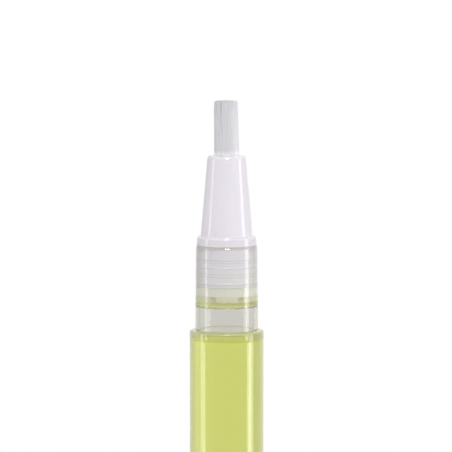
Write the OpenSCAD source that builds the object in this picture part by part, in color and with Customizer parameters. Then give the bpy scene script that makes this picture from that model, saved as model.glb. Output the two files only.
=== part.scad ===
// Twist-up brush pen for nail oil, without its cap, standing on its knob with the brush up.
// Millimetres. Z is the pen's axis, and zero is the flat end of the knob.

/* [Outside] */
// Diameter of the barrel and the knob
pen_d = 10; // [9.6:0.1:12]
// Height of the knob
knob_h = 16; // [15:0.5:22]
// Open seam between the knob and the barrel
seam_gap = 0.3; // [0.2:0.05:0.6]
// Length of the barrel up to its shoulder
barrel_h = 77.7; // [70:0.1:90]
// Wall of the barrel
barrel_wall = 0.8; // [0.6:0.05:0.9]
// Thickness of the barrel's shoulder
shoulder_t = 1.2; // [0.8:0.1:2]

/* [Neck] */
// Height of the neck above the shoulder
neck_h = 11.5; // [10.5:0.1:14]
// Diameter of the neck at its top
neck_top_d = 8.2; // [7.6:0.02:9]
// How much wider the neck is at its foot than at its top
neck_draft = 0.14; // [0:0.02:0.3]
// How much wider still is the straight land that a cap grips
land_step = 0.12; // [0.06:0.02:0.3]
// Height of that land
land_h = 4.6; // [3:0.1:6]
// Wall of the neck at its top
neck_wall = 0.44; // [0.3:0.02:0.6]

/* [Nozzle] */
// Height of the nozzle's collar
collar_h = 1.5; // [1:0.1:3]
// How much narrower the collar's foot is than the neck's top
collar_inset = 0.1; // [0:0.02:0.3]
// How much narrower the collar's top is than its foot
collar_draft = 0.25; // [0.1:0.05:0.5]
// Height of the cone above the collar
cone_h = 10.6; // [9.5:0.1:14]
// How much narrower the foot of the cone is than the collar's top
cone_ledge = 0.97; // [0.4:0.01:1.4]
// Diameter at the tip of the cone
cone_tip_d = 5; // [4.8:0.05:6]
// Length of the plug that fills the neck
plug_h = 5.5; // [4.5:0.1:7]
// Depth of the brush socket in the cone
socket_h = 6.6; // [5:0.1:8]

/* [Brush] */
// Length of brush that stands out of the nozzle
brush_out = 7.4; // [5:0.1:10]
// Diameter of the brush at the nozzle
brush_base_d = 3.4; // [3:0.05:3.6]
// Diameter of the brush at its cut end
brush_tip_d = 3.14; // [2.6:0.02:3.3]
// Wall of the ferrule round the tuft
ferrule_wall = 0.25; // [0.15:0.02:0.3]
// Strands along each side of the tuft's grid
strand_rows = 20; // [18:1:22]
// Unevenness of the cut end
brush_uneven = 0.16; // [0:0.02:0.4]

/* [Flow insert] */
// Gap round the insert's tail, which hangs in the neck
tail_gap = 0.36; // [0.2:0.02:0.6]
// Height of the tail below the nozzle's plug
tail_h = 2; // [1:0.1:2.4]
// Diameter of the stem that is pressed into the plug
stem_d = 3.6; // [3:0.1:4.4]
// Height of the stem
stem_h = 3; // [2:0.1:4]
// Diameter of the inlet hole
inlet_d = 0.6; // [0.4:0.05:0.7]
// Width of the inlet slots across the tail
slot_w = 0.8; // [0.5:0.1:1.2]
// Height of the inlet slots
slot_h = 0.8; // [0.5:0.1:0.9]
// Outside diameter of the feed tube
tube_d = 0.9; // [0.8:0.05:1.2]
// Wall of the feed tube
tube_wall = 0.17; // [0.1:0.01:0.25]

/* [Oil] */
// Height of the oil in the neck above the barrel's shoulder
oil_rise = 0.2; // [0:0.05:1]
// Depth of the film that hangs under the insert's tail
film_h = 0.6; // [0.3:0.05:1]

/* [Piston and rod] */
// Height of the piston
piston_h = 6.6; // [6:0.1:7.5]
// Height of each sealing lip
lip_h = 1.1; // [0.8:0.1:1.6]
// Depth of the waist between the lips
waist_depth = 0.55; // [0.3:0.05:0.9]
// Diameter of the rod over its thread
rod_d = 4; // [3.8:0.1:4.3]
// Depth of the thread
thread_depth = 0.42; // [0.3:0.02:0.5]
// Lead of the thread
thread_lead = 2; // [1.6:0.1:2.4]
// Distance across the two flats of the rod
rod_flats = 3; // [2.8:0.1:3.2]
// Diameter of the ball on the rod's end
ball_d = 2.9; // [2.7:0.05:3.2]
// Diameter of the neck under the ball
ball_neck_d = 1.9; // [1.6:0.1:2.1]
// Height of the nut
nut_h = 5; // [4:0.5:7]

/* [Drive] */
// Wall of the drive sleeve
drive_wall = 0.8; // [0.6:0.05:0.9]
// Thickness of the drive sleeve's flange
flange_t = 1; // [0.8:0.1:1.4]
// Length of the click spring
spring_h = 3.6; // [3:0.1:4.5]
// Wire of the click spring
spring_wire = 0.4; // [0.3:0.02:0.5]
// Turns of the click spring
spring_turns = 3; // [2:0.5:5]
// Thickness of the click ring without its teeth
click_t = 1.4; // [1:0.1:2]
// Teeth on the click ring and on the guide sleeve
click_teeth = 12; // [8:1:14]
// Height of those teeth
tooth_h = 0.6; // [0.4:0.05:0.8]
// Step from the guide sleeve in to its journal
journal_step = 0.42; // [0.35:0.01:0.6]
// Thickness of the retaining ring
snap_t = 0.6; // [0.4:0.05:0.8]
// Opening of the retaining ring, degrees
snap_open = 40; // [20:5:80]
// Section diameter of the friction ring
friction_d = 0.36; // [0.3:0.01:0.4]

/* [Knob] */
// Flutes round the knob
flutes = 20; // [12:1:28]
// Depth of the flutes
flute_depth = 0.22; // [0.1:0.02:0.3]
// Radius of the cutter that makes a flute
flute_r = 0.5; // [0.4:0.05:0.6]
// Plain band above and below the flutes
flute_margin = 1.8; // [1:0.1:3]
// Thickness of the end plug's head
plug_head_t = 0.8; // [0.6:0.05:1.2]
// Thickness of the end plug's body
plug_body_t = 0.6; // [0.4:0.05:1]
// Height of the end plug's rib
plug_rib_h = 1.5; // [1:0.1:2]

/* [Fits] */
// Gap of pieces pressed or snapped together
press_gap = 0.03; // [0.02:0.005:0.05]
// Gap of pieces that turn or slide in one another
run_gap = 0.07; // [0.05:0.01:0.1]
// Gap between faces that pass each other
face_gap = 0.4; // [0.3:0.05:0.6]
// Side clearance of the thread
thread_gap = 0.14; // [0.12:0.01:0.16]

/* [Hidden] */

// Circles of the round pieces, and steps in a rounded edge
round_fn = 96;
arc_steps = 4;
// Overrun of every cut
over = 0.2;
// Small rounded or chamfered edges
edge_r = 0.2;
foot_r = 0.4;
small_edge = 0.1;
corner_r = 0.4;
tip_round = 0.25;

// Radii from the outside in
body_r = pen_d / 2;
bore_r = body_r - barrel_wall;
sleeve_r = bore_r - press_gap;
journal_r = sleeve_r - journal_step;
knob_bore_r = journal_r + run_gap;
chamber_step = 0.18;
chamber_r = knob_bore_r + chamber_step;
key_depth = 0.3;
keyway_r = chamber_r + key_depth;
plug_seat_step = 0.15;
plug_seat_r = keyway_r + plug_seat_step;
rod_r = rod_d / 2;
rod_play = 0.1;
drive_bore_r = rod_r + rod_play;
drive_r = drive_bore_r + drive_wall;
guide_bore_r = drive_r + run_gap;
flange_r = chamber_r - run_gap;

// Radii of the neck, the nozzle and what they hold
neck_top_r = neck_top_d / 2;
neck_low_r = neck_top_r + neck_draft / 2;
land_r = neck_low_r + land_step / 2;
collar_low_r = neck_top_r - collar_inset / 2;
collar_top_r = collar_low_r - collar_draft / 2;
cone_base_r = collar_top_r - cone_ledge / 2;
neck_bore_r = neck_top_r - neck_wall;
plug_r = neck_bore_r - press_gap;
tip_r = cone_tip_d / 2;
ferrule_lip_t = 0.5;
slice_t = 1;
brush_base_r = brush_base_d / 2;
brush_draw = (brush_base_r - brush_tip_d / 2) / brush_out;
slice_r = brush_base_r + brush_draw * (socket_h - ferrule_lip_t - slice_t);
ferrule_bore_r = max(slice_r, brush_base_r) + press_gap;
ferrule_r = ferrule_bore_r + ferrule_wall;
socket_r = ferrule_r + press_gap;
stem_r = stem_d / 2;
stem_hole_r = stem_r + press_gap;
tube_r = tube_d / 2;
tube_hole_r = tube_r + press_gap;
tail_r = neck_bore_r - tail_gap;
inlet_r = inlet_d / 2;

// Levels of the outside
z_knob_top = knob_h;
z_barrel = z_knob_top + seam_gap;
z_shoulder = z_barrel + barrel_h;
z_inner = z_shoulder - shoulder_t;
z_land_top = z_shoulder + land_h;
z_neck_top = z_shoulder + neck_h;
z_collar_top = z_neck_top + collar_h;
z_tip = z_collar_top + cone_h;
z_brush_top = z_tip + brush_out;

// Levels inside the nozzle and the neck
z_plug = z_neck_top - plug_h;
z_stem_top = z_plug + stem_h;
z_tail = z_plug - tail_h;
z_film = z_tail - film_h;
z_socket = z_tip - socket_h;
z_slice = z_socket + ferrule_lip_t + slice_t;
z_tube_foot = z_plug + stem_h / 3;
z_oil_top = z_shoulder + oil_rise;

// Levels of the screw drive, up from the end plug
axial_gap = 0.05;
z_plug_rib = plug_head_t + plug_body_t + plug_rib_h;
z_flange = z_plug_rib + axial_gap;
z_spring = z_flange + flange_t;
z_click = z_spring + spring_h;
z_teeth = z_click + click_t;
z_guide = z_teeth + 2 * tooth_h + axial_gap;
z_chamber_top = z_guide + face_gap / 2;

// The piston's travel is what the pen's length leaves once above the drive sleeve and once above the
// nut, so that the rod still reaches into the drive sleeve when the piston meets its stop
rod_lift = 0.65;
stop_gap = 0.8;
rod_engaged = 2;
z_rod = z_flange + rod_lift;
travel = (z_inner - stop_gap - piston_h - 2 * face_gap - nut_h - rod_engaged - z_rod) / 2;
z_drive_top = z_rod + rod_engaged + travel;
z_nut = z_drive_top + face_gap;
z_nut_top = z_nut + nut_h;
z_piston = z_nut_top + face_gap;
z_piston_top = z_piston + piston_h;

// Grooves of the journal: the retaining ring's below, the friction ring's above
groove_depth = 0.3;
journal_span = z_knob_top - z_chamber_top;
snap_share = 0.42;
friction_share = 0.8;
z_snap = z_chamber_top + journal_span * snap_share;
z_friction = z_chamber_top + journal_span * friction_share;

// An arc of points about [r, z], from angle a to angle b
function arc(r, z, radius, a, b) =
    [for (i = [0:arc_steps]) let (t = a + (b - a) * i / arc_steps)
        [r + radius * cos(t), z + radius * sin(t)]];

module turned(points) {
    rotate_extrude($fn = round_fn) polygon(points);
}

module tube(outer, inner, low, high) {
    turned([[inner, low], [outer, low], [outer, high], [inner, high]]);
}

// The points of a screw's profile over one lead: root, crest, crest, root, as [rise, radius]
crest_share = 0.35;
flank_share = 0.16;
function thread_profile(core, crest, widen) =
    let (half = thread_lead * crest_share / 2 + widen, flank = thread_lead * flank_share)
    [[-half - flank, core], [-half, crest], [half, crest], [half + flank, core]];

// A right-hand screw from z0 to z1 as one closed skin. Each column of points runs up the screw at one
// angle, and the next column stands a step of the lead higher. Past an end, the points lie in the end
// face, draw in towards the axis and turn by end_twist degrees a lead, so that no two line up with the
// axis. Two flats at x = flat and x = -flat cut the columns short.
screw_steps = 24;
end_draw_share = 0.08;
end_twist = 6;
module screw(z0, z1, core, crest, flat, widen) {
    profile = thread_profile(core, crest, widen);
    turns = ceil((z1 - z0) / thread_lead) + 3;
    rows = 4 * turns + 1;
    start = z0 - 1.5 * thread_lead;
    function cut(r, a) = abs(r * cos(a)) > flat ? flat / abs(cos(a)) : r;
    function point(i, j) =
        let (p = profile[j % 4],
            z = start + thread_lead * (i / screw_steps + floor(j / 4)) + p[0],
            past = max(z0 - z, z - z1, 0),
            a = 360 * i / screw_steps + end_twist * past / thread_lead * (z < z0 ? 1 : -1),
            r = past > 0 ? core - past * end_draw_share : p[1],
            c = cut(r, a) * (past > 0 && core > flat ? 1 - past * end_draw_share / core : 1))
        [c * cos(a), c * sin(a), min(max(z, z0), z1)];
    function id(i, j) = i * rows + j;
    function at(i, j) = i < screw_steps ? id(i, j) : id(0, j + 4);
    points = concat(
        [for (i = [0:screw_steps - 1]) for (j = [0:rows - 1]) point(i, j)],
        [[0, 0, z0], [0, 0, z1]]);
    low = screw_steps * rows;
    high = low + 1;
    sides = [for (i = [0:screw_steps - 1])
        for (j = [0:(i < screw_steps - 1 ? rows - 2 : rows - 6)])
            each [[at(i, j), at(i, j + 1), at(i + 1, j + 1)], [at(i, j), at(i + 1, j + 1), at(i + 1, j)]]];
    foot = concat([for (i = [0:screw_steps - 1]) id(i, 0)], [for (j = [4:-1:1]) id(0, j)]);
    head = concat([for (i = [0:screw_steps - 1]) id(i, rows - 1)],
        [for (j = [rows - 2:-1:rows - 5]) id(screw_steps - 1, j)]);
    polyhedron(points, concat(sides,
        [for (k = [0:len(foot) - 1]) [low, foot[k], foot[(k + 1) % len(foot)]]],
        [for (k = [0:len(head) - 1]) [high, head[(k + 1) % len(head)], head[k]]]));
}

// A round bar along the axis with two flats, for the drive sleeve's bore
module flatted_bar(r, flats, low, high) {
    translate([0, 0, low]) intersection() {
        cylinder(r = r, h = high - low, $fn = round_fn);
        translate([-flats / 2, -r, 0]) cube([flats, 2 * r, high - low]);
    }
}

// A ring of saw teeth that stand on the level z and point along up
tooth_share = 0.72;
module saw_teeth(z, up) {
    inner = guide_bore_r + small_edge;
    width = tooth_share * 360 / click_teeth;
    half = inner * tan(width / 2);
    outer = sqrt(pow(journal_r - small_edge, 2) - half * half);
    for (i = [0:click_teeth - 1])
        rotate([0, 0, 360 * i / click_teeth]) translate([inner, 0, z]) rotate([90, 0, 90])
            linear_extrude(outer - inner)
                polygon([[-half, -up * over], [half, -up * over], [half, up * tooth_h], [-half, 0]]);
}

module knob() {
    color([0.95, 0.94, 0.96]) difference() {
        turned(concat(
            [[plug_seat_r, 0]],
            arc(body_r - foot_r, foot_r, foot_r, -90, 0),
            arc(body_r - edge_r, z_knob_top - edge_r, edge_r, 0, 90),
            [[knob_bore_r, z_knob_top],
             [knob_bore_r, z_snap + snap_t + axial_gap],
             [knob_bore_r + groove_depth, z_snap + snap_t + axial_gap],
             [knob_bore_r + groove_depth, z_snap - axial_gap],
             [knob_bore_r, z_snap - axial_gap],
             [knob_bore_r, z_chamber_top],
             [chamber_r, z_chamber_top],
             [chamber_r, plug_head_t],
             [plug_seat_r, plug_head_t]]));
        for (i = [0:flutes - 1])
            rotate([0, 0, 360 * (i + 0.5) / flutes])
                translate([body_r - flute_depth + flute_r, 0, flute_margin])
                    cylinder(r = flute_r, h = knob_h - 2 * flute_margin, $fn = 32);
        for (i = [0:lugs - 1])
            rotate([0, 0, 360 * i / lugs])
                translate([chamber_r - over, -key_w / 2, plug_head_t - over])
                    cube([keyway_r - chamber_r + over, key_w, z_spring + axial_gap + over - plug_head_t]);
    }
}

module end_plug() {
    color([0.93, 0.92, 0.94]) turned([
        [0, 0],
        [plug_seat_r - press_gap - small_edge, 0],
        [plug_seat_r - press_gap, small_edge],
        [plug_seat_r - press_gap, plug_head_t - press_gap],
        [chamber_r - press_gap, plug_head_t - press_gap],
        [chamber_r - press_gap, plug_head_t + plug_body_t],
        [drive_r + rib_t, plug_head_t + plug_body_t],
        [drive_r + rib_t, z_plug_rib],
        [drive_r, z_plug_rib],
        [drive_r, plug_head_t + plug_body_t],
        [0, plug_head_t + plug_body_t]]);
}
rib_t = 0.7;

lugs = 4;
key_w = 1.4;
ring_key_w = 0.9;
ring_key_h = 0.22;
module drive_sleeve() {
    color([0.88, 0.90, 0.92]) difference() {
        union() {
            tube(drive_r, drive_bore_r - drive_wall, z_flange, z_drive_top);
            tube(flange_r, drive_bore_r - drive_wall, z_flange, z_spring);
            for (i = [0:lugs - 1])
                rotate([0, 0, 360 * i / lugs])
                    translate([drive_r - over, press_gap - key_w / 2, z_flange])
                        cube([keyway_r - run_gap - drive_r + over, key_w - 2 * press_gap, flange_t]);
            for (side = [0, 180])
                rotate([0, 0, side])
                    translate([drive_r - over, -ring_key_w / 2, z_flange])
                        cube([over + ring_key_h, ring_key_w, z_teeth - z_flange]);
        }
        flatted_bar(drive_bore_r, rod_flats + 2 * rod_play, z_flange - over, z_drive_top + over);
    }
}

spring_sides = 6;
spring_steps = 16;
module click_spring() {
    mean_r = (drive_r + ring_key_h + chamber_r) / 2;
    wire_r = spring_wire / 2;
    count = spring_steps * spring_turns;
    z0 = z_spring + wire_r + axial_gap;
    rise = spring_h - spring_wire - 2 * axial_gap;
    points = [for (i = [0:count]) for (k = [0:spring_sides - 1])
        let (a = 360 * i / spring_steps, t = 360 * k / spring_sides, r = mean_r + wire_r * cos(t))
        [r * cos(a), r * sin(a), z0 + rise * i / count + wire_r * sin(t)]];
    function id(i, k) = i * spring_sides + k % spring_sides;
    color([0.75, 0.76, 0.78]) polyhedron(points, concat(
        [[for (k = [spring_sides - 1:-1:0]) id(0, k)]],
        [[for (k = [0:spring_sides - 1]) id(count, k)]],
        [for (i = [0:count - 1]) for (k = [0:spring_sides - 1])
            each [[id(i, k), id(i + 1, k + 1), id(i + 1, k)], [id(i, k), id(i, k + 1), id(i + 1, k + 1)]]]));
}

module click_ring() {
    color([0.96, 0.96, 0.94]) difference() {
        union() {
            tube(chamber_r - run_gap, drive_r + run_gap, z_click, z_teeth);
            saw_teeth(z_teeth, 1);
        }
        for (side = [0, 180])
            rotate([0, 0, side])
                translate([drive_r - over, -ring_key_w / 2 - press_gap, z_click - over])
                    cube([over + ring_key_h + press_gap, ring_key_w + 2 * press_gap, click_t + 2 * over]);
    }
}

module retaining_ring() {
    inner = journal_r - groove_depth + run_gap;
    outer = knob_bore_r + groove_depth - run_gap;
    color([0.80, 0.81, 0.83]) rotate([0, 0, snap_open / 2])
        rotate_extrude(angle = 360 - snap_open, $fn = round_fn)
            translate([inner, z_snap]) square([outer - inner, snap_t]);
}

module friction_ring() {
    groove_r = journal_r - groove_depth;
    color([0.25, 0.25, 0.27]) rotate_extrude($fn = round_fn)
        translate([(groove_r + knob_bore_r) / 2, z_friction]) circle(d = friction_d, $fn = 24);
}

module guide_sleeve() {
    low = z_snap - axial_gap;
    high = z_snap + snap_t + axial_gap;
    half = friction_d / 2 + axial_gap;
    color([0.90, 0.91, 0.93]) union() {
        turned([
            [guide_bore_r, z_guide],
            [journal_r, z_guide],
            [journal_r, low],
            [journal_r - groove_depth, low],
            [journal_r - groove_depth, high],
            [journal_r, high],
            [journal_r, z_friction - half],
            [journal_r - groove_depth, z_friction - half],
            [journal_r - groove_depth, z_friction + half],
            [journal_r, z_friction + half],
            [journal_r, z_barrel],
            [sleeve_r, z_barrel],
            [sleeve_r, z_nut],
            [spigot_r + press_gap, z_nut],
            [spigot_r + press_gap, z_nut - spigot_h],
            [guide_bore_r, z_nut - spigot_h]]);
        saw_teeth(z_guide, -1);
    }
}
spigot_h = 0.25;
spigot_r = (guide_bore_r + sleeve_r) / 2;

// The nut's thread starts a whole number of leads below the rod's, so that the two are in mesh
nut_leads = floor((z_nut - z_rod) / thread_lead) - 3;
module rod_nut() {
    color([0.94, 0.94, 0.92]) difference() {
        turned([
            [0, z_nut - spigot_h + press_gap],
            [spigot_r, z_nut - spigot_h + press_gap],
            [spigot_r, z_nut],
            [sleeve_r, z_nut],
            [sleeve_r, z_nut_top - edge_r],
            [sleeve_r - edge_r, z_nut_top],
            [0, z_nut_top]]);
        screw(z_rod + nut_leads * thread_lead, z_nut_top + 3 * thread_lead,
            rod_r - thread_depth + thread_gap, rod_r + thread_gap, body_r, thread_gap);
    }
}

z_rod_top = z_piston - face_gap / 2;
z_socket_low = z_piston + lip_h / 2;
z_ball = z_socket_low + ball_d / 2 + run_gap;
module threaded_rod() {
    color([0.97, 0.97, 0.96]) union() {
        screw(z_rod, z_rod_top, rod_r - thread_depth, rod_r, rod_flats / 2, 0);
        translate([0, 0, z_rod_top - over])
            cylinder(d = ball_neck_d, h = z_ball - z_rod_top + over, $fn = 32);
        translate([0, 0, z_ball]) sphere(d = ball_d, $fn = 48);
    }
}

module piston() {
    lip_r = bore_r - press_gap;
    waist_r = lip_r - waist_depth;
    socket = ball_d / 2 + run_gap;
    mouth_r = (ball_neck_d + ball_d) / 4;
    color([0.96, 0.96, 0.95]) turned([
        [mouth_r, z_piston],
        [lip_r - small_edge, z_piston],
        [lip_r, z_piston + small_edge],
        [lip_r, z_piston + lip_h],
        [waist_r, z_piston + lip_h + small_edge],
        [waist_r, z_piston_top - lip_h - small_edge],
        [lip_r, z_piston_top - lip_h],
        [lip_r, z_piston_top],
        [lip_r - dish_edge, z_piston_top],
        [lip_r - 2 * dish_edge, z_piston_top - dish_depth],
        [0, z_piston_top - dish_depth],
        [0, z_ball + socket],
        [socket, z_ball + socket],
        [socket, z_socket_low],
        [mouth_r, z_socket_low]]);
}
dish_edge = 0.5;
dish_depth = 0.7;

module barrel() {
    color([0.87, 0.88, 0.84, 0.4]) turned(concat(
        [[bore_r, z_barrel]],
        arc(body_r - edge_r, z_barrel + edge_r, edge_r, -90, 0),
        arc(body_r - edge_r, z_shoulder - edge_r, edge_r, 0, 90),
        [[land_r, z_shoulder],
         [land_r, z_land_top],
         [neck_low_r, z_land_top + small_edge],
         [neck_top_r, z_neck_top - small_edge],
         [neck_top_r - small_edge, z_neck_top],
         [neck_bore_r, z_neck_top],
         [neck_bore_r, z_inner]],
        arc(bore_r - corner_r, z_inner - corner_r, corner_r, 90, 0)));
}

// The oil fills the barrel from the piston up to its level in the neck, a hair clear of every wall
film_gap = 0.02;
module oil() {
    low = z_piston_top + film_gap;
    color([0.80, 0.83, 0.42, 0.8]) turned(concat(
        [[0, low], [bore_r - film_gap, low]],
        arc(bore_r - corner_r, z_inner - corner_r, corner_r - film_gap, 0, 90),
        [[neck_bore_r - film_gap, z_inner - film_gap],
         [neck_bore_r - film_gap, z_oil_top],
         [0, z_oil_top]]));
}

// The oil that clings round and under the insert's tail
module neck_oil() {
    color([0.80, 0.83, 0.55, 0.8]) turned([
        [0, z_film],
        [neck_bore_r - film_gap, z_film],
        [neck_bore_r - film_gap, z_plug - film_gap],
        [tail_r + film_gap, z_plug - film_gap],
        [tail_r + film_gap, z_tail - film_gap],
        [0, z_tail - film_gap]]);
}

module flow_insert() {
    color([0.90, 0.91, 0.90]) difference() {
        turned([
            [inlet_r, z_tail],
            [tail_r - small_edge, z_tail],
            [tail_r, z_tail + small_edge],
            [tail_r, z_plug],
            [stem_r, z_plug],
            [stem_r, z_stem_top - press_gap],
            [tube_hole_r, z_stem_top - press_gap],
            [tube_hole_r, z_tube_foot],
            [inlet_r, z_tube_foot]]);
        for (a = [0:60:120])
            rotate([0, 0, a])
                translate([-tail_r - over, -slot_w / 2, z_tail - over])
                    cube([2 * (tail_r + over), slot_w, slot_h + over]);
    }
}

module feed_tube() {
    color([0.93, 0.93, 0.92]) tube(tube_r, tube_r - tube_wall, z_tube_foot + press_gap,
        z_socket + ferrule_lip_t - press_gap);
}

// The plug's outline as shares of its height and of its radius: foot, ring, stepped groove, bead, land
plug_shares = [[0, 0.93], [0.03, 0.965], [0.127, 0.965], [0.14, 1], [0.31, 1], [0.335, 0.875],
    [0.455, 0.875], [0.48, 0.915], [0.6, 0.915], [0.62, 1], [0.655, 1], [0.67, 0.985], [0.69, 0.985],
    [0.705, 1], [1, 1]];
module nozzle() {
    color([0.95, 0.94, 0.97]) turned(concat(
        [[stem_hole_r, z_plug]],
        [for (p = plug_shares) [plug_r * p[1], z_plug + plug_h * p[0]]],
        [[collar_low_r - small_edge, z_neck_top],
         [collar_low_r, z_neck_top + small_edge]],
        arc(collar_top_r - edge_r, z_collar_top - edge_r, edge_r, 0, 90),
        [[cone_base_r, z_collar_top]],
        arc(tip_r - tip_round, z_tip - tip_round, tip_round, 0, 90),
        [[socket_r, z_tip],
         [socket_r, z_socket],
         [tube_hole_r, z_socket],
         [tube_hole_r, z_stem_top],
         [stem_hole_r, z_stem_top]]));
}

module brush_ferrule() {
    top = z_tip - tip_round;
    color([0.90, 0.90, 0.92]) turned([
        [tube_hole_r, z_socket + press_gap],
        [ferrule_r, z_socket + press_gap],
        [ferrule_r, top],
        [ferrule_bore_r, top],
        [ferrule_bore_r, z_socket + ferrule_lip_t],
        [tube_hole_r, z_socket + ferrule_lip_t]]);
}

// The tuft: a round slice of backing whose top is a square grid drawn out to a disc, with one
// three-sided strand in each cell. The strands lean in by the same share, so none cross.
strand_shares = [[[0.14, 0.2], [0.86, 0.28], [0.42, 0.86]], [[0.2, 0.86], [0.12, 0.16], [0.86, 0.5]]];
strand_sides = 3;
module bristles() {
    n = strand_rows;
    lean = brush_tip_d / 2 / slice_r;
    drops = rands(0, brush_uneven, n * n, 7);
    function disc(u, v) = let (x = 2 * u / n - 1, y = 2 * v / n - 1)
        slice_r * [x * sqrt(1 - y * y / 2), y * sqrt(1 - x * x / 2)];
    function strand(i, j, k) =
        let (s = strand_shares[(i + j) % 2][k]) disc(i + s[0], j + s[1]);
    function lift(p, z) = [p[0], p[1], z];
    function corner(i, j) = i * (n + 1) + j;
    corners = (n + 1) * (n + 1);
    function root(i, j, k) = corners + 2 * strand_sides * (i * n + j) + k;
    function tip(i, j, k) = root(i, j, k) + strand_sides;
    rim_cells = concat([for (i = [0:n - 1]) [i, 0]], [for (j = [0:n - 1]) [n, j]],
        [for (i = [n:-1:1]) [i, n]], [for (j = [n:-1:1]) [0, j]]);
    rim = len(rim_cells);
    foot = corners + 2 * strand_sides * n * n;
    points = concat(
        [for (i = [0:n]) for (j = [0:n]) lift(disc(i, j), z_slice)],
        [for (i = [0:n - 1]) for (j = [0:n - 1])
            each concat([for (k = [0:strand_sides - 1]) lift(strand(i, j, k), z_slice)],
                [for (k = [0:strand_sides - 1])
                    lift(lean * strand(i, j, k), z_brush_top - drops[i * n + j])])],
        [for (c = rim_cells) lift(disc(c[0], c[1]), z_slice - slice_t)],
        [[0, 0, z_slice - slice_t]]);
    // Each cell's floor joins its four corners to the strand's three roots
    function floor_faces(i, j) =
        let (a = corner(i, j), b = corner(i + 1, j), c = corner(i + 1, j + 1), d = corner(i, j + 1),
            p = root(i, j, 0), q = root(i, j, 1), r = root(i, j, 2))
        (i + j) % 2 == 0
            ? [[a, p, b], [b, p, q], [b, q, c], [c, q, r], [c, r, d], [d, r, p], [d, p, a]]
            : [[d, p, a], [a, p, q], [a, q, b], [b, q, r], [b, r, c], [c, r, p], [c, p, d]];
    // Both strands turn from the first root to the third the same way round
    function strand_faces(i, j) = [
        for (k = [0:strand_sides - 1]) let (m = (k + 1) % strand_sides)
            each [[root(i, j, k), tip(i, j, k), tip(i, j, m)], [root(i, j, k), tip(i, j, m), root(i, j, m)]],
        [tip(i, j, 0), tip(i, j, 2), tip(i, j, 1)]];
    color([0.88, 0.88, 0.90]) polyhedron(points, concat(
        [for (i = [0:n - 1]) for (j = [0:n - 1]) each floor_faces(i, j)],
        [for (i = [0:n - 1]) for (j = [0:n - 1]) each strand_faces(i, j)],
        [for (k = [0:rim - 1]) let (m = (k + 1) % rim,
            a = corner(rim_cells[k][0], rim_cells[k][1]), b = corner(rim_cells[m][0], rim_cells[m][1]))
            each [[a, b, foot + m], [a, foot + m, foot + k]]],
        [for (k = [0:rim - 1]) [foot + rim, foot + k, foot + (k + 1) % rim]]));
}

knob();
end_plug();
drive_sleeve();
click_spring();
click_ring();
retaining_ring();
friction_ring();
guide_sleeve();
rod_nut();
threaded_rod();
piston();
barrel();
oil();
neck_oil();
flow_insert();
feed_tube();
nozzle();
brush_ferrule();
bristles();
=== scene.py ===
"""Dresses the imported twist-up brush pen: clear barrel, oil, white nozzle, tuft, piston, knob, and a stage."""

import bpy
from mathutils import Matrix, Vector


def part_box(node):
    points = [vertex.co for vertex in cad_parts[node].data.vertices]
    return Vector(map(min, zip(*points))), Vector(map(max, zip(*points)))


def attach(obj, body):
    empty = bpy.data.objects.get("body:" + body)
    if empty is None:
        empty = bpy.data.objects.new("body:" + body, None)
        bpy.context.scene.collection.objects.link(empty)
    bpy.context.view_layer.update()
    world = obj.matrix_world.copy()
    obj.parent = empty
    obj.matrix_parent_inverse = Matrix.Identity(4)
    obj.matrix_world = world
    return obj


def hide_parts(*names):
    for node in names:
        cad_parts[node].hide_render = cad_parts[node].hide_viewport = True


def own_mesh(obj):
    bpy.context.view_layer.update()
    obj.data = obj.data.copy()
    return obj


bl_info = {
    "name": "Nail oil pen",
    "version": (1, 0, 0),
    "blender": (4, 5, 0),
    "location": "3D View > Sidebar > Nail oil pen",
    "description": "Makes the visible pieces of a twist-up brush pen on its packed frame, and a stage",
    "category": "Object",
}

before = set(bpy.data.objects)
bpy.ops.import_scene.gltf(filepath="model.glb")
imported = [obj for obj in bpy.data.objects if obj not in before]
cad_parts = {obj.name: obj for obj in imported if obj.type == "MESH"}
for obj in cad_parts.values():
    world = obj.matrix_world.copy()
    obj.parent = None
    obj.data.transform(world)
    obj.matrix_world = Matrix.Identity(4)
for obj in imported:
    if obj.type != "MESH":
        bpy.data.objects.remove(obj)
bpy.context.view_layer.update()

import bpy
import bmesh
import numpy as np
from bpy.props import FloatProperty, FloatVectorProperty, IntProperty, PointerProperty
from mathutils import Vector

MM = 0.001
# How far the oil reaches into the walls round it, in millimetres, so that no air shows between the two
OVERLAP = 0.03
# Sides of a turned piece, and of the two that the camera sees closest
SIDES, FINE_SIDES = 192, 256
# Places of the colour sockets in a Mix node, which has others with the same names
MIX_A, MIX_B, MIX_RESULT = 6, 7, 2
# Nodes in a row of a material's layout, and the space that each takes
NODES_A_ROW, NODE_SPACE = 10, 200
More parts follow.
